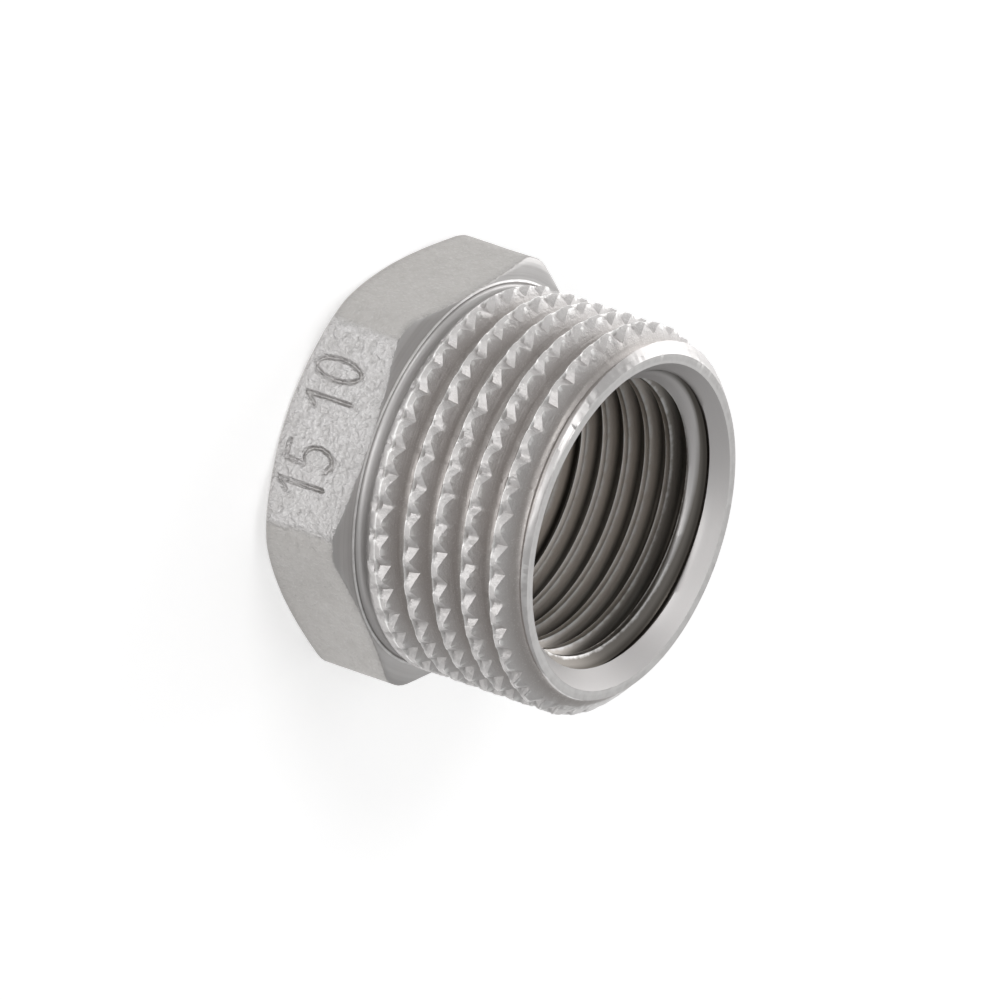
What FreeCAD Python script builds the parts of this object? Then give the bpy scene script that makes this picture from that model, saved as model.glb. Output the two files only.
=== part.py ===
import FreeCAD, Part
import math
import os
import re

import Sketcher

# Hex reducing bushing, standing on the back face of its head with the male thread up.
# Millimetres, +Z along the fitting's axis, two flats of the head facing +X and -X.

doc = FreeCAD.newDocument("HexBushing")
sizes = doc.addObject("Spreadsheet::Sheet", "Sizes")

SIZES = [
    # name, value, what it is
    ("across_flats", 21.0, "head between opposite flats"),
    ("across_corners", 23.4, "head over its turned corners"),
    ("total_length", 15.6, "back face to end face"),
    ("head_height", 4.97, "head at its corners"),
    ("face_rise", 0.35, "front face of the head, higher at its middle"),
    ("back_bevel_radius", 10.45, "where the bevel of the back face starts"),
    ("back_bevel_angle", 30.0, "bevel of the back face, from that face"),
    ("relief_radius", 10.0, "groove between head and thread, at its floor"),
    ("relief_edge_radius", 10.5, "rim of that groove on the head"),
    ("relief_width", 0.83, "that groove along the axis"),
    ("relief_dip", 0.15, "fall of that groove's side from its rim to its floor"),
    ("male_major", 20.9, "male thread over its crests"),
    ("male_pitch", 1.814, "male thread, 14 turns an inch"),
    ("depth_per_pitch", 0.64, "depth of the thread for each millimetre of pitch"),
    ("flank_angle", 27.5, "flank of the thread, half of 55 degrees"),
    ("male_start", 6.791, "first full groove, its height at the zero of the turn"),
    ("male_start_turn", 69.0, "direction in which that groove begins"),
    ("runout_turns", 0.55, "turns in which the groove fades out below its beginning"),
    ("end_face_radius", 9.3, "outer edge of the end face"),
    ("end_bevel_angle", 45.0, "bevel at the start of the male thread"),
    ("mouth_radius", 8.8, "bore mouth at the end face"),
    ("mouth_depth", 1.9, "depth of that mouth's cone"),
    ("entry_radius", 8.6, "bore mouth at the back face"),
    ("entry_angle", 45.0, "cone of that mouth, from the axis"),
    ("female_minor", 14.95, "bore, at the crests of its thread"),
    ("notch_count", 40.0, "grip notches round the male thread"),
    ("notch_depth", 0.42, "notch below the crest"),
    ("notch_angle", 110.0, "included angle of a notch"),
    ("notch_turn", 7.8, "direction of the first notch"),
    ("overcut", 0.3, "how far the thread and notch cuts start outside the blank"),
]

for row, (name, value, note) in enumerate(SIZES, 1):
    sizes.set(f"A{row}", name)
    sizes.set(f"B{row}", str(value))
    sizes.set(f"C{row}", note)
    sizes.setAlias(f"B{row}", name)
doc.recompute()

body = doc.addObject("PartDesign::Body", "Bushing")
body.Label = "bushing"


def plane(role):
    return [item for item in body.Origin.OriginFeatures if item.Role == role][0]


NAMES = re.compile("|".join(rf"\b{name}\b" for name, _, _ in SIZES))


def sized(formula):
    return NAMES.sub(lambda found: "Sizes." + found.group(0), formula)


def sketch_on(role, name, axis=None, turn=None):
    """Sketch on an origin plane, turned about one of its own axes by a named size."""
    sketch = body.newObject("Sketcher::SketchObject", name)
    sketch.AttachmentSupport = [(plane(role), "")]
    sketch.MapMode = "FlatFace"
    if turn:
        sketch.AttachmentOffset = FreeCAD.Placement(FreeCAD.Vector(), axis, 1)
        sketch.setExpression(".AttachmentOffset.Rotation.Angle", sized(turn))
    return sketch


def section(name, outline, turn=None):
    """Closed outline in a plane through the axis: x is the radius, y the height."""
    sketch = sketch_on("XZ_Plane", name, FreeCAD.Vector(0, 1, 0), turn)
    draw(sketch, outline)
    return sketch


def draw(sketch, outline):
    count = len(outline)
    corners = []
    for i in range(count):
        angle = 2 * math.pi * i / count
        corners.append(FreeCAD.Vector(20 + 5 * math.cos(angle), 20 + 5 * math.sin(angle), 0))
    for i in range(count):
        sketch.addGeometry(Part.LineSegment(corners[i], corners[(i + 1) % count]), False)
    for i in range(count):
        sketch.addConstraint(Sketcher.Constraint("Coincident", i, 2, (i + 1) % count, 1))
    for i, (x, y) in enumerate(outline):
        for kind, formula, start in (("DistanceX", x, corners[i].x), ("DistanceY", y, corners[i].y)):
            index = sketch.addConstraint(Sketcher.Constraint(kind, -1, 1, i, 1, start))
            sketch.setExpression(f"Constraints[{index}]", sized(formula))
    doc.recompute()


def turned(kind, name, profile):
    feature = body.newObject(f"PartDesign::{kind}", name)
    feature.Profile = profile
    feature.ReferenceAxis = (profile, ["V_Axis"])
    feature.Angle = 360
    doc.recompute()
    return feature


def groove_outline(crest, root, height, pitch):
    """Sides of a thread groove from its flat root, pitch / 6 wide, out past the crest."""
    outline = []
    outside = f"({crest} + overcut)"
    for radius, side in ((root, -1), (root, 1), (outside, 1), (outside, -1)):
        half = f"({pitch} / 12 + ({radius} - {root}) * tan(flank_angle))"
        outline.append((radius, f"{height} + {side} * {half}"))
    return outline


def helix(name, profile, pitch, turns, cone=None):
    """Groove swept up round the axis, or down and outwards where a cone angle is given."""
    feature = body.newObject("PartDesign::SubtractiveHelix", name)
    feature.Profile = profile
    feature.ReferenceAxis = (profile, ["V_Axis"])
    feature.Mode = 1
    feature.setExpression("Pitch", sized(pitch))
    feature.setExpression("Turns", sized(turns))
    if cone:
        feature.Reversed = True
        feature.Angle = 1
        feature.setExpression("Angle", sized(cone))
    doc.recompute()
    return feature


# Head: a hexagonal bar, then turned at both faces and over its corners.
hexagon = body.newObject("Sketcher::SketchObject", "HeadHexagon")
hexagon.AttachmentSupport = [(plane("XY_Plane"), "")]
hexagon.MapMode = "FlatFace"
ring = [FreeCAD.Vector(12 * math.cos(a), 12 * math.sin(a), 0)
        for a in (math.radians(30 + 60 * k) for k in range(6))]
for k in range(6):
    hexagon.addGeometry(Part.LineSegment(ring[k], ring[(k + 1) % 6]), False)
circle = hexagon.addGeometry(Part.Circle(FreeCAD.Vector(), FreeCAD.Vector(0, 0, 1), 12), True)
hexagon.addConstraint(Sketcher.Constraint("Coincident", circle, 3, -1, 1))
for k in range(6):
    hexagon.addConstraint(Sketcher.Constraint("Coincident", k, 2, (k + 1) % 6, 1))
    hexagon.addConstraint(Sketcher.Constraint("PointOnObject", k, 1, circle))
for k in range(5):
    hexagon.addConstraint(Sketcher.Constraint("Equal", k, k + 1))
hexagon.addConstraint(Sketcher.Constraint("Vertical", 5))
index = hexagon.addConstraint(Sketcher.Constraint("Radius", circle, 12))
hexagon.setExpression(f"Constraints[{index}]", sized("across_flats / 2 / cos(30)"))
doc.recompute()

head = body.newObject("PartDesign::Pad", "Head")
head.Profile = hexagon
head.setExpression("Length", sized("head_height + face_rise"))
doc.recompute()

face_height = "head_height + face_rise"
bevel = "(across_corners / 2 - back_bevel_radius) * tan(back_bevel_angle)"
turned("Groove", "HeadTurning", section("HeadOutline", [
    ("back_bevel_radius", "0"),
    ("across_corners", "0"),
    ("across_corners", "total_length"),
    ("relief_radius", "total_length"),
    ("relief_radius", f"{face_height} - relief_dip"),
    ("relief_edge_radius", face_height),
    ("across_corners / 2", "head_height"),
    ("across_corners / 2", bevel),
]))

# Shank: relief groove behind the head, blank of the male thread, bevel at its start.
end_bevel = "(male_major / 2 - end_face_radius) / tan(end_bevel_angle)"
turned("Revolution", "Shank", section("ShankOutline", [
    ("0", "head_height / 2"),
    ("relief_radius", "head_height / 2"),
    ("relief_radius", f"{face_height} + relief_width"),
    ("male_major / 2", f"{face_height} + relief_width"),
    ("male_major / 2", f"total_length - {end_bevel}"),
    ("end_face_radius", "total_length"),
    ("0", "total_length"),
]))

# Bore: core of the female thread with a cone at each mouth.
turned("Groove", "Bore", section("BoreOutline", [
    ("0", "0"),
    ("entry_radius", "0"),
    ("female_minor / 2", "(entry_radius - female_minor / 2) / tan(entry_angle)"),
    ("female_minor / 2", "total_length - mouth_depth"),
    ("mouth_radius", "total_length"),
    ("0", "total_length"),
]))

# Grip notches: one straight V along the axis, repeated round the blank of the thread.
notch = sketch_on("XY_Plane", "NotchOutline", FreeCAD.Vector(0, 0, 1), "notch_turn")
notch.setExpression(".AttachmentOffset.Base.z", sized("total_length"))
side = "(notch_depth + overcut) * tan(notch_angle / 2)"
draw(notch, [
    ("male_major / 2 - notch_depth", "0"),
    ("male_major / 2 + overcut", f"-{side}"),
    ("male_major / 2 + overcut", side),
])
pocket = body.newObject("PartDesign::Pocket", "Notch")
pocket.Profile = notch
pocket.setExpression("Length", sized(f"total_length - ({face_height}) - relief_width / 2"))
doc.recompute()
notches = body.newObject("PartDesign::PolarPattern", "Notches")
notches.Originals = [pocket]
notches.Axis = (notch, ["N_Axis"])
notches.Angle = 360
notches.setExpression("Occurrences", sized("notch_count"))
body.Tip = notches
doc.recompute()

# Male thread: one groove from its full depth near the head out through the end face.
male_height = "(male_start + male_pitch * male_start_turn / 360)"
male_depth = "(depth_per_pitch * male_pitch)"
male_groove = groove_outline("male_major / 2", f"(male_major / 2 - {male_depth})", male_height,
                             "male_pitch")
helix("MaleThread", section("MaleGroove", male_groove, "male_start_turn"), "male_pitch",
      f"(total_length + male_pitch / 2 - {male_height}) / male_pitch")

# The same groove fades out on its way down to the relief groove.
helix("MaleRunout", section("MaleRunoutGroove", male_groove, "male_start_turn"), "male_pitch",
      "runout_turns", f"atan({male_depth} / (runout_turns * male_pitch))")

os.makedirs("parts", exist_ok=True)
for item in doc.Objects:
    if "Invalid" in item.State or "Error" in item.State:
        raise SystemExit(f"{item.Label} did not build")
if not body.Shape.isValid():
    raise SystemExit("the solid is not valid")
body.Shape.exportStep("parts/bushing.step")
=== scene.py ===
import math

import bmesh
import bpy
from mathutils import Matrix, Vector, kdtree, noise


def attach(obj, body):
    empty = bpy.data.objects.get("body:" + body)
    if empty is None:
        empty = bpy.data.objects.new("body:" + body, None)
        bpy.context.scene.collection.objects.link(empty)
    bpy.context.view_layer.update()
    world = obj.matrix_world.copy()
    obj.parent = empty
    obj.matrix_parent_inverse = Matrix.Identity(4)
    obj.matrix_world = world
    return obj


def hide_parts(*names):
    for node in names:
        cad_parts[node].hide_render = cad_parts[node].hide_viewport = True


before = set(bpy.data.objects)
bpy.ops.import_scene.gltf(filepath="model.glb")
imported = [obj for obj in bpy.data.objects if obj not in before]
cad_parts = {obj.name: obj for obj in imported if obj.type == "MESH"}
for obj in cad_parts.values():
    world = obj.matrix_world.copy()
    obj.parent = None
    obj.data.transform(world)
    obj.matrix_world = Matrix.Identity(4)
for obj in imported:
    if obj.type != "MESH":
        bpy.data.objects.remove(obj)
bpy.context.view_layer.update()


# Male thread: a right-hand parallel pipe thread, cut with a die into the turned brass shank. A
# toothed wheel rolled along its crests has pressed 40 pits a turn into them, so that hemp or tape
# grips. The die lifts out of the metal over half a turn near the head.
MM = 0.001


class Field:
    """A number known at every point. Arithmetic on it adds Math nodes to its tree."""

    def __init__(self, tree, socket):
        self.tree = tree
        self.socket = socket

    def math(self, operation, *values, first=None):
        node = self.tree.nodes.new("ShaderNodeMath")
        node.operation = operation
        for slot, value in zip(node.inputs, (self if first is None else first, *values)):
            if isinstance(value, Field):
                self.tree.links.new(value.socket, slot)
            else:
                slot.default_value = value
        return Field(self.tree, node.outputs[0])

    def __add__(self, other):
        return self.math("ADD", other)

    __radd__ = __add__

    def __sub__(self, other):
        return self.math("SUBTRACT", other)

    def __rsub__(self, other):
        return self.math("SUBTRACT", self, first=other)

    def __mul__(self, other):
        return self.math("MULTIPLY", other)

    __rmul__ = __mul__

    def __truediv__(self, other):
        return self.math("DIVIDE", other)

    def __rtruediv__(self, other):
        return self.math("DIVIDE", self, first=other)

    def least(self, other):
        return self.math("MINIMUM", other)

    def most(self, other):
        return self.math("MAXIMUM", other)

    def above(self, level):
        return self.math("GREATER_THAN", level)

    def share(self, low, high):
        """How far this has come from low to high, from 0 to 1."""
        return ((self - low) / (high - low)).most(0.0).least(1.0)

    def near(self, level, reach):
        """1 at this level, falling to 0 at reach from it."""
        return (1.0 - (self - level).math("ABSOLUTE") / reach).most(0.0)

    def switched(self, other, when):
        """This field, or the other one where when is 1."""
        return self + (other - self) * when


def add(tree, kind, values=(), **settings):
    """New node with its settings and inputs. A value is a field, a socket or a plain value."""
    node = tree.nodes.new(kind)
    for key, value in settings.items():
        setattr(node, key, value)
    for label, value in dict(values).items():
        if isinstance(value, (Field, bpy.types.NodeSocket)):
            tree.links.new(value.socket if isinstance(value, Field) else value, node.inputs[label])
        else:
            node.inputs[label].default_value = value
    return node


def geometry_tree(name, sizes):
    """New Geometry Nodes tree with a named input for each size, and those inputs as fields."""
    tree = bpy.data.node_groups.new(name, "GeometryNodeTree")
    tree.interface.new_socket("Geometry", in_out="OUTPUT", socket_type="NodeSocketGeometry")
    for label in sizes:
        tree.interface.new_socket(label, in_out="INPUT", socket_type="NodeSocketFloat")
    source = tree.nodes.new("NodeGroupInput")
    return tree, {label: Field(tree, source.outputs[label]) for label in sizes}


def helical_grid(tree, columns, rows):
    """Grid to be wound round the axis: its mesh, and each point's column and row."""
    grid = add(tree, "GeometryNodeMeshGrid", {
        "Size X": 1.0, "Size Y": 1.0, "Vertices X": columns + 1, "Vertices Y": rows + 1})
    place = add(tree, "GeometryNodeInputPosition")
    split = add(tree, "ShaderNodeSeparateXYZ", {"Vector": place.outputs[0]})
    column, row = (
        (Field(tree, split.outputs[axis]) * steps + steps / 2).math("ROUND")
        for axis, steps in (("X", columns), ("Y", rows)))
    return grid.outputs["Mesh"], column, row


def around(tree, turn, radius, height):
    """Place at these cylinder coordinates: a vector socket."""
    angle = turn.math("RADIANS")
    return add(tree, "ShaderNodeCombineXYZ", {
        "X": radius * angle.math("COSINE"), "Y": radius * angle.math("SINE"),
        "Z": height}).outputs[0]


def wind(tree, mesh, turn, radius, height, waviness, edge, metal):
    """Puts a grid's points at cylinder coordinates in millimetres and ends the tree."""
    lumps = add(tree, "ShaderNodeTexNoise", {
        "Vector": around(tree, turn, radius, height), "Scale": 2.4, "Detail": 2.0})
    radius = radius + (Field(tree, lumps.outputs[0]) - 0.5) * waviness
    marked = add(tree, "GeometryNodeStoreNamedAttribute", {
        "Geometry": mesh, "Name": "edge", "Value": edge}, data_type="FLOAT", domain="POINT")
    moved = add(tree, "GeometryNodeSetPosition", {
        "Geometry": marked.outputs[0], "Position": around(tree, turn, radius * MM, height * MM)})
    real = add(tree, "GeometryNodeRealizeInstances", {"Geometry": moved.outputs[0]})
    dressed = add(tree, "GeometryNodeSetMaterial", {
        "Geometry": real.outputs[0], "Material": metal})
    add(tree, "NodeGroupOutput", {"Geometry": dressed.outputs[0]})


def plain_mesh(name, tree, sizes):
    """Runs a tree with its sizes set and returns what it makes as a plain mesh."""
    holder = bpy.data.objects.new(name, bpy.data.meshes.new(name))
    bpy.context.scene.collection.objects.link(holder)
    modifier = holder.modifiers.new(name, "NODES")
    modifier.node_group = tree
    for item in tree.interface.items_tree:
        if item.in_out == "INPUT":
            modifier[item.identifier] = sizes[item.name]
    ready = holder.evaluated_get(bpy.context.evaluated_depsgraph_get())
    mesh = bpy.data.meshes.new_from_object(ready)
    bpy.data.objects.remove(holder)
    return mesh


def shader_group(name, numbers, results):
    """New shader node group: its Place input, its number inputs as fields, and its output node."""
    tree = bpy.data.node_groups.new(name, "ShaderNodeTree")
    tree.interface.new_socket("Place", in_out="INPUT", socket_type="NodeSocketVector")
    for label in numbers:
        tree.interface.new_socket(label, in_out="INPUT", socket_type="NodeSocketFloat")
    for label in results:
        tree.interface.new_socket(label, in_out="OUTPUT", socket_type="NodeSocketFloat")
    source = tree.nodes.new("NodeGroupInput")
    result = tree.nodes.new("NodeGroupOutput")
    fields = {label: Field(tree, source.outputs[label]) for label in numbers}
    return tree, source.outputs["Place"], fields, result


def texture(tree, place, scale, **more):
    """Noise over a place, from 0 to 1."""
    values = {"Vector": place, "Scale": scale, **more}
    return Field(tree, add(tree, "ShaderNodeTexNoise", values).outputs[0])


# Grain: soft lumps of a stated size with finer ones on them, as blasting leaves on metal.
grain, place, value, result = shader_group("Metal grain", ["Lumps", "Fine Share"],
                                           ["Height", "Specks", "Cloud"])
lumps_scale = 1000.0 / value["Lumps"]
coarse = texture(grain, place, lumps_scale, Detail=1.5, Roughness=0.5, Distortion=0.6)
fine = texture(grain, place, lumps_scale * 3.1, Detail=2.0, Roughness=0.6)
height = coarse + (fine - coarse) * value["Fine Share"]
grain.links.new(height.socket, result.inputs["Height"])
grain.links.new(fine.share(0.56, 0.68).socket, result.inputs["Specks"])
grain.links.new(texture(grain, place, 420.0, Detail=3.0, Roughness=0.6).share(0.3, 0.7).socket,
                result.inputs["Cloud"])

# Tool marks: fine lines round the axis, uneven along their way, as a lathe or a die leaves them.
marks, place, value, result = shader_group("Tool marks", ["Spacing"], ["Height", "Streaks"])
split = add(marks, "ShaderNodeSeparateXYZ", {"Vector": place})
x, y, z = (Field(marks, split.outputs[axis]) for axis in "XYZ")
reach = (x * x + y * y).math("SQRT")
ring = (reach + z * 0.7) * 1000.0 / value["Spacing"]
along = add(marks, "ShaderNodeCombineXYZ", {"X": x / reach * 1.5, "Y": y / reach * 1.5, "Z": ring})
lines = texture(marks, along.outputs[0], 1.0, Detail=2.0, Roughness=0.7)
broad = texture(marks, along.outputs[0], 0.22, Detail=1.0, Roughness=0.5)
marks.links.new(lines.socket, result.inputs["Height"])
marks.links.new(broad.share(0.35, 0.65).socket, result.inputs["Streaks"])

# Painted edge light and shade: a mask where the mesh's edge mark and an uneven patch agree.
# Most metals paint a highlight with it, and the flats paint shade with it.
edge_paint, place, value, result = shader_group("Painted edge light and shade", ["Mark"], ["Mask"])
patch = texture(edge_paint, place, 1600.0, Detail=2.0, Roughness=0.6)
edge_paint.links.new((value["Mark"] * (patch.share(0.3, 0.6) * 0.5 + 0.5)).socket, result.inputs["Mask"])


class Metal:
    """A bare metal: its material, its shader and the fields that every metal here starts from."""

    def __init__(self, name):
        self.material = bpy.data.materials.new(name)
        self.material.use_nodes = True
        self.tree = self.material.node_tree
        self.shader = self.tree.nodes["Principled BSDF"]
        self.shader.inputs["Metallic"].default_value = 1.0
        self.place = add(self.tree, "ShaderNodeTexCoord").outputs["Object"]
        split = add(self.tree, "ShaderNodeSeparateXYZ", {"Vector": self.place})
        x, y, z = (Field(self.tree, split.outputs[axis]) for axis in "XYZ")
        self.across = x * 1000.0
        self.radius = (x * x + y * y).math("SQRT") * 1000.0
        self.height = z * 1000.0
        # The edge mask, for painted highlights and, on the flats, painted shade.
        mark = add(self.tree, "ShaderNodeAttribute", attribute_name="edge")
        self.edge = self.effect(edge_paint, Mark=Field(self.tree, mark.outputs["Fac"]))["Mask"]

    def effect(self, group, **values):
        """A shared effect placed in this material: its outputs as fields."""
        values = {label.replace("_", " "): value for label, value in values.items()}
        node = add(self.tree, "ShaderNodeGroup", {"Place": self.place, **values}, node_tree=group)
        return {socket.name: Field(self.tree, socket) for socket in node.outputs}

    def tint(self, first, second, share):
        """Colour that goes from the first to the second as share goes from 0 to 1."""
        ends = [colour if isinstance(colour, bpy.types.NodeSocket) else (*colour, 1.0)
                for colour in (first, second)]
        node = add(self.tree, "ShaderNodeMix", {0: share, 6: ends[0], 7: ends[1]}, data_type="RGBA")
        return node.outputs[2]

    def finish(self, colour, roughness, height, relief):
        """Links what was worked out: the relief is in millimetres from low to high."""
        self.tree.links.new(colour, self.shader.inputs["Base Color"])
        self.tree.links.new(roughness.socket, self.shader.inputs["Roughness"])
        bump = add(self.tree, "ShaderNodeBump", {
            "Height": height, "Distance": relief * MM, "Strength": 1.0})
        self.tree.links.new(bump.outputs[0], self.shader.inputs["Normal"])


START_TURN = 7.8  # direction of the first pit and of both threads' seam, in degrees
SHANK_COLUMNS = 480
PIT_COLUMNS = 12
PITS = SHANK_COLUMNS // PIT_COLUMNS
SHANK_TURNS = 7
# Rows of points in each turn: the crest's back edge, its front edge, the root and the next crest.
BACK_EDGE, FRONT_EDGE, ROOT_START, ROOT_END, SHANK_ROWS = 4, 10, 12, 16, 18
TAN_FLANK = math.tan(math.radians(27.5))
PIT_FALL = 0.45  # how a pit deepens from the crest's front edge on
ROOT_HALF, ROUND_HALF, ROUND_RISE = 0.136, 0.272, 0.261  # sharp root, and its rounding
CLOSE = 0.03  # heights this close to where a winding is cut off lie on that cut

shank_sizes = {
    "Crest Radius": 10.45,
    "Thread Depth": 1.16,
    "Pitch": 1.814,
    "First Crest": 0.442 + 2 * 1.814,
    "Half Crest": 0.167,
    "Shoulder": 6.15,
    "Shoulder Radius": 10.27,
    "End": 15.6,
    "End Radius": 9.3,
    "Pit Depth": 0.44,
    "Back Pit Depth": 0.42,
    "Pit Slope": 0.57,
    "Back Slope": 3.4,
    "Runout Start": 7.139,
    "Runout Drop": 0.998,
    "Burr": 0.02,
    "Waviness": 0.11,
}

# Thread tones: bright for the grain's specks and for painted edge highlights, the metal's own satin,
# painted shade for the roots, and near-white for painted edge highlights.
BRIGHT = (0.7, 0.69, 0.68)
SATIN = (0.6, 0.585, 0.58)
ROOT = (0.42, 0.395, 0.38)
EDGE_HIGHLIGHT = (0.92, 0.91, 0.9)

thread = Metal("thread_metal")
grains = thread.effect(grain, Lumps=0.3, Fine_Share=0.4)
lines = thread.effect(marks, Spacing=0.07)
raised = thread.radius.share(9.45, 10.25)
bevel_sum = shank_sizes["End"] + shank_sizes["End Radius"]
bevelled = (thread.radius + thread.height).near(bevel_sum, 0.1).share(0.1, 0.5)
# Painted shade: the roots and lower flanks are coloured darker than the crests and the end bevel.
colour = thread.tint(ROOT, SATIN, raised.most(bevelled))
# Painted highlight on the marked edges of crests, pits and bevel; the grain's specks are the metal's
# own.
colour = thread.tint(colour, BRIGHT, (grains["Specks"] * 0.4 + thread.edge * 0.8).least(1.0))
colour = thread.tint(colour, ROOT, (1.0 - grains["Cloud"]) * 0.3)
# Near-white painted highlight on the marked edges.
colour = thread.tint(colour, EDGE_HIGHLIGHT, thread.edge.share(0.35, 0.8))
pressed_grain = grains["Height"] * (0.4 + raised * 2.6) * (1.0 - bevelled * 0.9)
thread.finish(colour, 0.42 + grains["Cloud"] * 0.08 - bevelled * 0.12,
              pressed_grain + lines["Height"] * (1.0 - raised * 0.6), 0.02)

tree, size = geometry_tree("Pitted male thread", shank_sizes)
mesh, column, row = helical_grid(tree, SHANK_COLUMNS, SHANK_ROWS * SHANK_TURNS)
turn = column * (360 / SHANK_COLUMNS) + START_TURN
block = (row / SHANK_ROWS).math("FLOOR")
step = row - block * SHANK_ROWS
pitch = size["Pitch"]
crest = size["Crest Radius"]
crest_height = size["First Crest"] + pitch * (block + turn / 360)
below = crest_height - pitch / 2
above = crest_height + pitch / 2

# A pit is a wedge across the crest, deepest on the flank in front. Its back facet climbs to the
# crest's back edge, which stays as a fine line with a burr. Where there is no groove behind that
# line, the wheel has pressed a second pit there. No two pits are equally deep or evenly spaced.
pit_step = (column + PIT_COLUMNS / 2).math("FLOORED_MODULO", float(PIT_COLUMNS)) - PIT_COLUMNS / 2
pit_number = ((column + PIT_COLUMNS / 2) / PIT_COLUMNS).math("FLOOR") + block * PITS
chances = [add(tree, "FunctionNodeRandomValue", {
    2: low, 3: high, "ID": pit_number, "Seed": seed}, data_type="FLOAT")
    for low, high, seed in ((0.8, 1.06, 11), (-0.9, 0.9, 5))]
pressed, shifted = (Field(tree, chance.outputs[1]) for chance in chances)
column_width = math.radians(360 / SHANK_COLUMNS) * shank_sizes["Crest Radius"]
aside = (pit_step + shifted).math("ABSOLUTE") * column_width * size["Pit Slope"]
fine_line = crest_height - size["Half Crest"]
front_line = crest_height + size["Half Crest"]


def pit(height):
    """Depth at this height: of the pit in front of the fine line, or of the second one."""
    behind = fine_line - height
    ahead = height - front_line
    front = size["Pit Depth"] * pressed + ahead * PIT_FALL
    front = front.least(0.65 - (ahead - 0.34) * 1.2) - aside
    front = front.least(0.05 - behind * size["Back Slope"])
    back = size["Back Pit Depth"] * pressed - behind * 0.6 - aside
    back = back.least(0.06 + (behind - 0.04).most(0.0) * 1.1)
    return front.switched(back, behind.above(0.0)).most(0.0)


def groove_floor(centre):
    """Radius of a groove's floor, and how much is left of the groove where it runs out."""
    left = 1.0 - (size["Runout Start"] - centre).share(0.0, size["Runout Drop"])
    return crest - size["Thread Depth"] * left, left


def groove_half(floor, left, top):
    """Half the width of a groove where its flank meets this radius."""
    return left * ROOT_HALF + (top - floor).most(0.0) * TAN_FLANK


floor, left = groove_floor(above)
on_flank = (size["Pit Depth"] * pressed - aside).most(0.0) / (1.0 - PIT_FALL * TAN_FLANK)
front_top = (crest - on_flank).most(floor)
back_top = crest - pit(fine_line)
low_half = groove_half(floor, left, front_top)
high_half = groove_half(floor, left, back_top)
round_top = (floor + left * ROUND_RISE).least(front_top).least(back_top)
round_half = (left * ROUND_HALF).least(low_half).least(high_half)
floor = floor.least(round_top)

crest_start = below + groove_half(*groove_floor(below), back_top)
crest_end = above - low_half
line_height = fine_line.most(crest_start).least(crest_end)
flank_down = step.share(FRONT_EDGE, ROOT_START)
across = step.share(ROOT_START, ROOT_END)
flank_up = step.share(ROOT_END, SHANK_ROWS)
height = crest_start + (line_height - crest_start) * step.share(0, BACK_EDGE)
height = height + (crest_end - line_height) * step.share(BACK_EDGE, FRONT_EDGE)
height = height + (low_half - round_half) * flank_down + round_half * across * 2.0
height = height + (high_half - round_half) * flank_up

bowl = across * 2.0 - 1.0
in_groove = front_top + (round_top - front_top) * flank_down + (back_top - round_top) * flank_up
in_groove = in_groove - (round_top - floor) * (1.0 - bowl * bowl)
depth = pit(height)
on_back_edge = step.near(BACK_EDGE, 1.0)
past_crest = step.above(FRONT_EDGE + 0.5)
radius = (crest - depth + on_back_edge * size["Burr"]).switched(in_groove, past_crest)
land = 1.0 - depth.share(0.0, 0.06)
# Marks for painted highlights: the crest's back and front edges and the pits' rims.
edge = on_back_edge.most(step.near(FRONT_EDGE, 1.0) * land).most(depth.near(0.04, 0.04) * 0.7)
edge = edge * (1.0 - past_crest)

# The undercut's shoulder and the bevel at the end cut the winding off.
from_shoulder = 1.0 - height.share(size["Shoulder"], size["Shoulder"] + 0.4)
rise = crest - size["Shoulder Radius"]
radius = radius.least(crest + size["Burr"] - from_shoulder * from_shoulder * (rise + size["Burr"]))
bevel = size["End Radius"] + (size["End"] - height)
# The bevel's edge is marked for a painted highlight too.
edge = (edge * (1.0 - (radius - bevel).share(0.0, 0.05))).most((radius - bevel).near(0.0, 0.1) * 0.8)
radius = radius.least(bevel)
under = (size["Shoulder"] - height).above(-CLOSE)
over = (height - size["End"]).above(-CLOSE)
radius = radius.switched(size["Shoulder Radius"], under).switched(size["End Radius"], over)
height = height.switched(size["Shoulder"], under).switched(size["End"], over)
waviness = size["Waviness"] * (0.35 + depth.share(0.0, 0.1)) * (1.0 - under) * (1.0 - over)
wind(tree, mesh, turn, radius, height, waviness, edge, thread.material)
shank_mesh = plain_mesh("shank", tree, shank_sizes)

# Female thread: a finer right-hand pipe thread, tapped right through the bore. It starts in the
# wide cone at the end face and leaves through a shorter one at the back face. Its grooves are
# painted dark brown as shade, darkest near the mouth, and only crests and cones are light.
BORE_COLUMNS = 240
BORE_TURNS = 14
BORE_ROWS = 9  # in each turn: 2 on the crest, 1.5 a flank, 4 in the root

bore_sizes = {
    "Crest Radius": 7.475,
    "Root Radius": 8.24,
    "Pitch": 1.337,
    "First Crest": 0.434 - 2 * 1.337,
    "End": 15.6,
    "Mouth Radius": 8.8,
    "Mouth Depth": 1.7,
    "Entry Radius": 8.6,
    "Edge Rounding": 0.02,
    "Waviness": 0.02,
}

GROOVE_SHADE = (0.09, 0.082, 0.072)

bore = Metal("bore_metal")
lines = bore.effect(marks, Spacing=0.35)
mouth_slope = (bore_sizes["Mouth Radius"] - bore_sizes["Crest Radius"]) / bore_sizes["Mouth Depth"]
cone = bore_sizes["Mouth Radius"] - (bore_sizes["End"] - bore.height) * mouth_slope
back_cone = bore_sizes["Entry Radius"] - bore.height
on_cones = 1.0 - (bore.radius - cone.most(back_cone)).share(0.02, 0.12)
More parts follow.
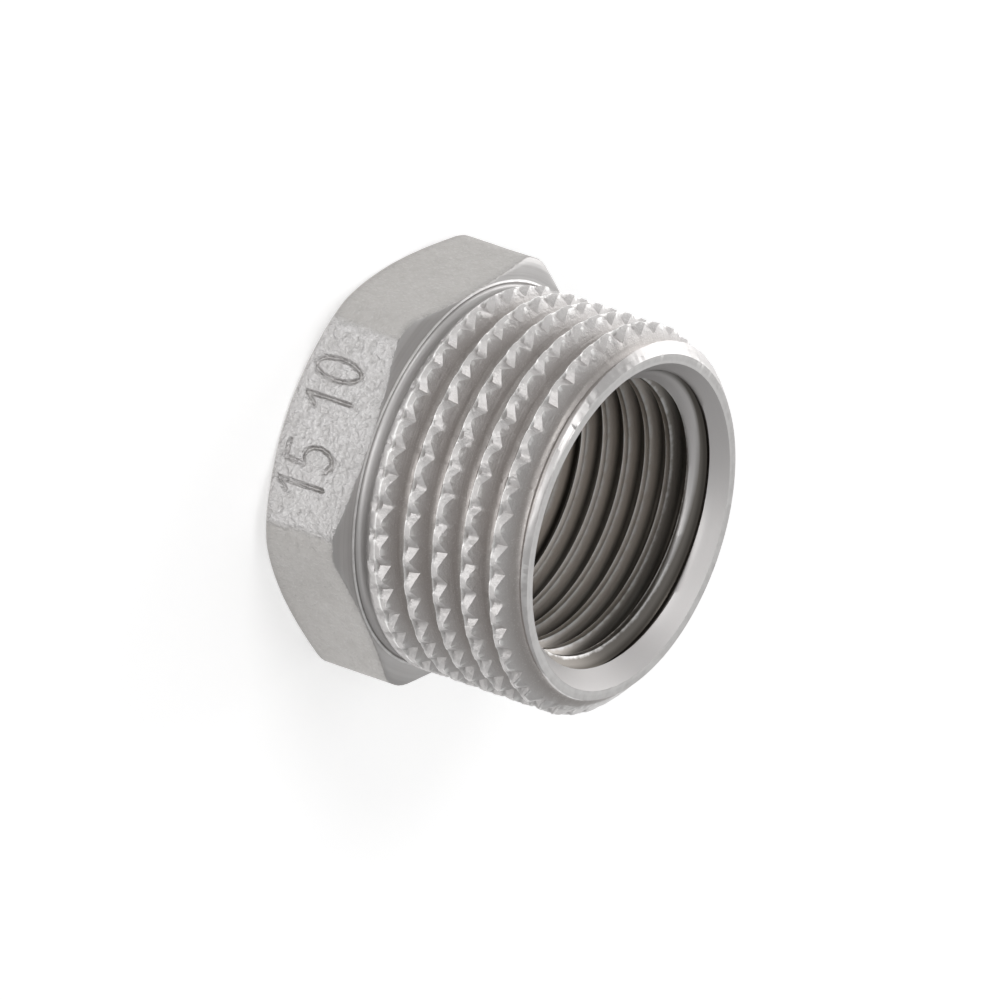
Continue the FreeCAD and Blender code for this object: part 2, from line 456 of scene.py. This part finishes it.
# Painted shade: the grooves are coloured dark brown, with streaks.
colour = bore.tint(GROOVE_SHADE, (0.17, 0.156, 0.14), lines["Streaks"])
colour = bore.tint((0.6, 0.56, 0.52), colour, bore.radius.share(7.88, 8.12))
# Painted shade, deepest in the grooves nearest the mouth.
colour = bore.tint(colour, GROOVE_SHADE, bore.height.share(11.9, 13.6) * 0.75)
colour = bore.tint(colour, SATIN, on_cones)
# Painted highlight on the marked crest edges.
colour = bore.tint(colour, BRIGHT, bore.edge.share(0.45, 0.85))
bore.finish(colour, 0.3 + lines["Streaks"] * 0.06 + on_cones * 0.2, lines["Height"], 0.006)

tree, size = geometry_tree("Female thread", bore_sizes)
mesh, column, row = helical_grid(tree, BORE_COLUMNS, BORE_ROWS * BORE_TURNS)
turn = column * (360 / BORE_COLUMNS) + START_TURN
block = (row / BORE_ROWS).math("FLOOR")
step = row - block * BORE_ROWS
pitch = size["Pitch"]
crest_height = size["First Crest"] + pitch * (block + turn / 360)
depth = size["Root Radius"] - size["Crest Radius"]
root_half, round_half, round_depth = 0.1114, 0.2227, 0.2138
half = root_half + depth * TAN_FLANK
crest_share = step.share(0.0, 2.0)
flank_down = step.share(2.0, 3.5)
across = step.share(3.5, 7.5)
flank_up = step.share(7.5, 9.0)
height = crest_height - (pitch / 2 - half) + crest_share * (pitch - 2.0 * half)
height = height + (half - round_half) * (flank_down + flank_up) + across * (2 * round_half)
bowl = across * 2.0 - 1.0
# Crest edges are marked for painted highlights; the same mark also rounds them a little.
edge = step.near(0.0, 1.0).most(step.near(2.0, 1.0)).most(step.near(9.0, 1.0))
radius = size["Crest Radius"] + (depth - round_depth) * (flank_down - flank_up)
radius = radius + (1.0 - bowl * bowl) * round_depth + edge * size["Edge Rounding"]
over = (height - size["End"]).above(-CLOSE)
under = (height * -1.0).above(-CLOSE)
height = (height * (1.0 - under)).switched(size["End"], over)
mouth = size["Mouth Radius"] - (size["Mouth Radius"] - size["Crest Radius"]) * (
    (size["End"] - height) / size["Mouth Depth"])
cones = mouth.most(size["Entry Radius"] - height)
edge = edge * (radius - cones).above(0.0)
radius = radius.most(cones)
waviness = size["Waviness"] * (1.0 - under) * (1.0 - over)
wind(tree, mesh, turn, radius, height, waviness, edge, bore.material)
bore_mesh = plain_mesh("bore", tree, bore_sizes)

# Head: six flats of a pressed and blasted bar, 21 mm across, turned off over the corners and
# sloped at its front. Behind the thread lies a shallow turned undercut with a fine raised rim.
flat = Metal("flat_metal")
grains = flat.effect(grain, Lumps=0.48, Fine_Share=0.3)
numbered_flat = (grains["Cloud"] * 0.16 - flat.across).share(10.3, 10.45)
# Painted shade and light: the grain's hollows are coloured darker and its lumps lighter.
colour = flat.tint((0.53, 0.518, 0.512), (0.64, 0.628, 0.626), grains["Height"].share(0.34, 0.6))
colour = flat.tint(colour, (0.54, 0.525, 0.518), grains["Cloud"] * 0.3)
colour = flat.tint(colour, (0.46, 0.444, 0.424), 0.65 - numbered_flat * 0.65)
colour = flat.tint(colour, (0.74, 0.73, 0.725), grains["Specks"] * (0.2 + numbered_flat * 0.45))
# Painted shade along the marked edges of the flats and in the punched strokes.
colour = flat.tint(colour, (0.3, 0.29, 0.285), flat.edge * 0.5)
flat.finish(colour, 0.48 + grains["Cloud"] * 0.08,
            grains["Height"] * (0.55 + numbered_flat * 0.55), 0.3)

turned = Metal("turned_metal")
grains = turned.effect(grain, Lumps=0.4, Fine_Share=0.4)
lines = turned.effect(marks, Spacing=0.06)
colour = turned.tint((0.47, 0.458, 0.452), (0.57, 0.557, 0.55), lines["Streaks"])
# Painted highlight on the marked edges: the undercut's rim and the edges of the end and back faces.
colour = turned.tint(colour, (0.8, 0.79, 0.78), turned.edge)
turned.finish(colour, 0.41 + grains["Cloud"] * 0.08,
              lines["Height"] * 0.7 + grains["Height"] * 0.3, 0.012)

FLAT_STEPS, CORNER_STEPS = 35, 5
HEAD_COLUMNS = 6 * (FLAT_STEPS + CORNER_STEPS)
FLAT_HALF = 10.5
CORNER_RADIUS = 11.69
FACE_RADIUS = 10.42  # where the front face and the bevel of the back face start
FACE_HEIGHT, FACE_FALL = 5.345, 0.375  # front face at that radius, and its fall to the corners
FACE_START = 10.445  # first ring of points on the front face
BACK_BEVEL_RADIUS = 10.45
FLAT_ROWS = 12
UNDERCUT = [  # radius and height, from the thread's shoulder to the head's front face
    (10.16, 6.02), (10.08, 5.88), (10.045, 5.72), (10.045, 5.57), (10.07, 5.46), (10.12, 5.38),
    (10.19, 5.345), (10.25, 5.35), (10.285, 5.375), (10.32, 5.405), (10.35, 5.41), (10.425, 5.345)]
RIM = (9, 10, 11)  # its last points, on the raised rim

body = bmesh.new()
for part in (shank_mesh, bore_mesh):
    body.from_mesh(part)
METALS = [thread.material, bore.material, flat.material, turned.material]
THREAD, BORE, FLAT, TURNED = range(4)
shank_faces = len(shank_mesh.polygons)
for index, face in enumerate(body.faces):
    face.material_index = THREAD if index < shank_faces else BORE
edge_mark = body.verts.layers.float["edge"]
bmesh.ops.remove_doubles(body, verts=body.verts[:], dist=0.0005 * MM)


def turn_of(place):
    return (math.degrees(math.atan2(place[1], place[0])) - START_TURN + 0.1) % 360


def open_ring(height, radius):
    """Points of the open edge at this height and radius, in order round the axis."""
    points = {point for line in body.edges if line.is_boundary for point in line.verts}
    found = [point for point in points
             if abs(point.co.z - height * MM) < 1e-6 and abs(point.co.xy.length - radius * MM) < 6e-5]
    return sorted(found, key=lambda point: turn_of(point.co))


def new_ring(places, mark=0.0):
    points = []
    for angle, r, z in places:
        point = body.verts.new((r * MM * math.cos(angle), r * MM * math.sin(angle), z * MM))
        point[edge_mark] = mark
        points.append(point)
    return points


def skin(first, second, metal):
    """Faces between two rings. Where the first has twice the points, every other one is used up."""
    ratio = len(first) // len(second)
    count = len(second)
    for k in range(count):
        after = (k + 1) % count
        a = [first[(ratio * k + i) % len(first)] for i in range(ratio + 1)]
        sets = [(a[0], a[1], second[after], second[k])]
        if ratio == 2:
            sets = [(a[0], a[1], second[k]), (a[1], a[2], second[after], second[k])]
        for corners in sets:
            body.faces.new(corners).material_index = metal


def hexagon_turns():
    """Directions whose points fall on the flats' edges, starting near the others' start."""
    half = math.degrees(math.acos(FLAT_HALF / CORNER_RADIUS))
    sector = [-half + 2 * half * k / FLAT_STEPS for k in range(FLAT_STEPS)]
    sector += [half + (60 - 2 * half) * k / CORNER_STEPS for k in range(CORNER_STEPS)]
    turns = [60 * s + a for s in range(6) for a in sector]
    first = min(range(len(turns)), key=lambda k: abs(turns[k] - START_TURN))
    return [math.radians(a) for a in turns[first:] + turns[:first]]


def hexagon_radius(angle):
    """Flat or turned corner, softly blended, as blasting leaves the edge between them."""
    from_flat = (math.degrees(angle) + 30) % 60 - 30
    on_flat = FLAT_HALF / math.cos(math.radians(from_flat))
    return min(on_flat, CORNER_RADIUS) - 0.06 * math.exp(-abs(on_flat - CORNER_RADIUS) / 0.07)


def face_height(r):
    outward = max(r - FACE_RADIUS, 0) / (CORNER_RADIUS - FACE_RADIUS)
    return FACE_HEIGHT - FACE_FALL * outward ** 1.2


def back_height(r):
    return (r - BACK_BEVEL_RADIUS) * math.tan(math.radians(30))


end_rings = [open_ring(shank_sizes["End"], shank_sizes["End Radius"]),
             open_ring(bore_sizes["End"], bore_sizes["Mouth Radius"])]
# The end face's edges are marked for a painted highlight.
for point in end_rings[0] + end_rings[1]:
    point[edge_mark] = 0.5
skin(*end_rings, TURNED)

ring = open_ring(shank_sizes["Shoulder"], shank_sizes["Shoulder Radius"])
even_turns = [math.radians(START_TURN + 360 * k / HEAD_COLUMNS) for k in range(HEAD_COLUMNS)]
# Rings on the raised rim are marked for a painted highlight.
for index, (r, z) in enumerate(UNDERCUT):
    following = new_ring([(a, r, z) for a in even_turns], float(index in RIM))
    skin(ring, following, TURNED)
    ring = following

# From the undercut out over the front face, down the flats and in over the back face, in rings of
# radii and heights, each with its metal and its edge mark, which paints shade on the flats and
# highlights on the turned faces.
turns = hexagon_turns()
rims = [hexagon_radius(a) for a in turns]
rows = []
for share in (0.03, 0.35, 0.7, 1.0):
    radii = [FACE_START + (r - 0.05 - FACE_START) * share for r in rims]
    rows.append((radii, [face_height(r) for r in radii], TURNED, 0.0))
rows.append(([r - 0.015 for r in rims], [face_height(r) - 0.02 for r in rims], FLAT, 0.8))
for k in range(FLAT_ROWS + 1):
    share = k / FLAT_ROWS
    rows.append((rims, [(face_height(r) - 0.06) * (1 - share) + (back_height(r) + 0.05) * share
                        for r in rims], FLAT, 0.6 if k in (0, FLAT_ROWS) else 0.0))
rows.append(([r - 0.03 for r in rims], [back_height(r - 0.03) + 0.01 for r in rims], TURNED, 0.5))
halfway = [(r + 10.44) / 2 for r in rims]
rows.append((halfway, [back_height(r) for r in halfway], TURNED, 0.0))
rows.append(([FACE_RADIUS] * HEAD_COLUMNS, [0.0] * HEAD_COLUMNS, TURNED, 0.4))
rows.append(([9.5] * HEAD_COLUMNS, [0.0] * HEAD_COLUMNS, TURNED, 0.0))
for radii, heights, metal, mark in rows:
    following = new_ring(zip(turns, radii, heights), mark)
    skin(ring, following, metal)
    ring = following
skin(ring, open_ring(0.0, bore_sizes["Entry Radius"]), TURNED)

# Numbers: the nominal bores of the two threads, pressed by hand into one flat of the head with
# single-stroke punches. They read along the flat, with their feet towards the thread.
GLYPHS = {  # strokes of each figure: runs of points, across 0 to 1 and up 0 to 2
    "1": [[(0.15, 1.55), (0.55, 2.0), (0.55, 0.0)]],
    "5": [[(0.92, 2.0), (0.2, 2.0), (0.14, 1.15), (0.42, 1.27), (0.68, 1.22), (0.88, 1.0),
           (0.95, 0.66), (0.86, 0.3), (0.62, 0.06), (0.35, 0.0), (0.05, 0.16)]],
    "0": [[(0.5 + 0.45 * math.sin(math.radians(18 * k)), 1.0 + 1.0 * math.cos(math.radians(18 * k)))
           for k in range(21)]],
}
PUNCHED = [("1", -3.9), ("5", -2.35), ("1", 0.75), ("0", 2.35)]
FIGURE_WIDTH, FIGURE_HEIGHT, FOOT = 1.25, 1.4, 3.55
STROKE_HALF, STROKE_DEPTH = 0.16, 0.18
NUMBERED_SIDE = -10.3  # everything beyond this x is on the numbered flat


def punched_points():
    """Points every 0.02 mm along all strokes, as places on the flat: across and height."""
    for figure, start in PUNCHED:
        for stroke in GLYPHS[figure]:
            for (x0, y0), (x1, y1) in zip(stroke, stroke[1:]):
                first = Vector((start + x0 * FIGURE_WIDTH, FOOT - y0 * FIGURE_HEIGHT, 0))
                last = Vector((start + x1 * FIGURE_WIDTH, FOOT - y1 * FIGURE_HEIGHT, 0))
                steps = max(1, round((last - first).length / 0.02))
                for k in range(steps + 1):
                    yield first.lerp(last, k / steps)


numbered = [face for face in body.faces if face.material_index == FLAT
            and all(point.co.x < NUMBERED_SIDE * MM and abs(point.co.y) < 4.75 * MM
                    and 0.3 * MM < point.co.z < 3.95 * MM for point in face.verts)]
inner = list(dict.fromkeys(line for face in numbered for line in face.edges))
bmesh.ops.subdivide_edges(body, edges=inner, cuts=5, use_grid_fill=True)
strokes = list(punched_points())
nearest = kdtree.KDTree(len(strokes))
for index, point in enumerate(strokes):
    nearest.insert(point, index)
nearest.balance()
# Points in the strokes sink in and are marked, so the flat's metal paints them darker as shade in the
# dents.
for point in body.verts:
    x, y, z = (value / MM for value in point.co)
    if x < NUMBERED_SIDE and abs(y) < 5.2 and 0.1 < z < 4.6:
        off = nearest.find(Vector((y, z, 0)))[2]
        pressed_in = max(0.0, 1.0 - (off / STROKE_HALF) ** 2)
        point.co.x += STROKE_DEPTH * pressed_in * MM
        point[edge_mark] = max(point[edge_mark], pressed_in * 0.35)

# Pressing and blasting have left the flats slightly uneven.
flat_points = {point for face in body.faces if face.material_index == FLAT for point in face.verts}
for point in flat_points:
    place = point.co / MM
    unevenness = noise.noise(place * 0.45) * 0.5 + noise.noise(place * 1.7) * 0.3 - 0.5
    inward = Vector((place.x, place.y, 0)).normalized()
    point.co += inward * (unevenness * 0.03 * MM)

bmesh.ops.recalc_face_normals(body, faces=body.faces[:])
for line in body.edges:
    line.smooth = line.is_manifold and line.calc_face_angle() < math.radians(38)
for face in body.faces:
    face.smooth = True

whole = bpy.data.meshes.new("bushing_metal")
body.to_mesh(whole)
body.free()
for metal in METALS:
    whole.materials.append(metal)
bushing = bpy.data.objects.new("bushing_metal", whole)
bpy.context.scene.collection.objects.link(bushing)

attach(bushing, "root")
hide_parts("bushing")

# Studio: a white floor that fills the picture, soft lamps above, in front and to the left, and a
# weak one behind. The long lens stands where the photograph's stood.
floor_mesh = bpy.data.meshes.new("floor")
spread = 3.0
floor_mesh.from_pydata([(-spread, -spread, -0.0001), (spread, -spread, -0.0001),
                        (spread, spread, -0.0001), (-spread, spread, -0.0001)], [], [(0, 1, 2, 3)])
floor = bpy.data.objects.new("floor", floor_mesh)
bpy.context.scene.collection.objects.link(floor)
floor_paint = bpy.data.materials.new("floor_paint")
floor_paint.use_nodes = True
nodes, links = floor_paint.node_tree.nodes, floor_paint.node_tree.links
paint = nodes["Principled BSDF"]
paint.inputs["Base Color"].default_value = (0.9, 0.9, 0.9, 1)
paint.inputs["Roughness"].default_value = 0.9
paint.inputs["Specular IOR Level"].default_value = 0.0
paint.inputs["Emission Color"].default_value = (1, 1, 1, 1)
path = nodes.new("ShaderNodeLightPath")
seen = Field(floor_paint.node_tree, path.outputs["Is Camera Ray"])
for label in ("Is Glossy Ray", "Is Transmission Ray"):
    seen = seen.most(Field(floor_paint.node_tree, path.outputs[label]))
links.new((seen * 0.36).socket, paint.inputs["Emission Strength"])
floor_mesh.materials.append(floor_paint)

world = bpy.data.worlds.new("studio")
bpy.context.scene.world = world
world.use_nodes = True
sky = world.node_tree.nodes["Background"]
sky.inputs["Color"].default_value = (1, 1, 1, 1)
sky.inputs["Strength"].default_value = 0.5
world.cycles.sampling_method = "NONE"


def lamp(name, place, size, power):
    light = bpy.data.lights.new(name, "AREA")
    light.shape = "DISK"
    light.size = size
    light.energy = power
    lamp_object = bpy.data.objects.new(name, light)
    lamp_object.location = place
    lamp_object.rotation_euler = (-Vector(place)).to_track_quat("-Z", "Y").to_euler()
    bpy.context.scene.collection.objects.link(lamp_object)


lamp("overhead", (0.7, 0.68, 0.22), 0.9, 3.6)
lamp("front", (-0.5, 0.6, 0.7), 0.5, 2.0)
lamp("left", (-0.93, -0.15, 0.35), 0.8, 3.0)
lamp("behind", (0.82, 0.05, 0.5), 0.8, 0.5)

camera_data = bpy.data.cameras.new("camera")
camera_data.lens = 666.9
camera_data.sensor_width = 36.0
camera_data.clip_start = 0.05
camera = bpy.data.objects.new("camera", camera_data)
right, up, back = (0.4927, 0.3137, 0.8117), (-0.1548, 0.9495, -0.273), (-0.8563, 0.0089, 0.5164)
pointing = Matrix((right, up, back)).transposed().to_4x4()
camera.matrix_world = Matrix.Translation((-0.8223, 0.0077, 0.5034)) @ pointing
bpy.context.scene.collection.objects.link(camera)
bpy.context.scene.camera = camera
bpy.context.scene.view_settings.view_transform = "Standard"
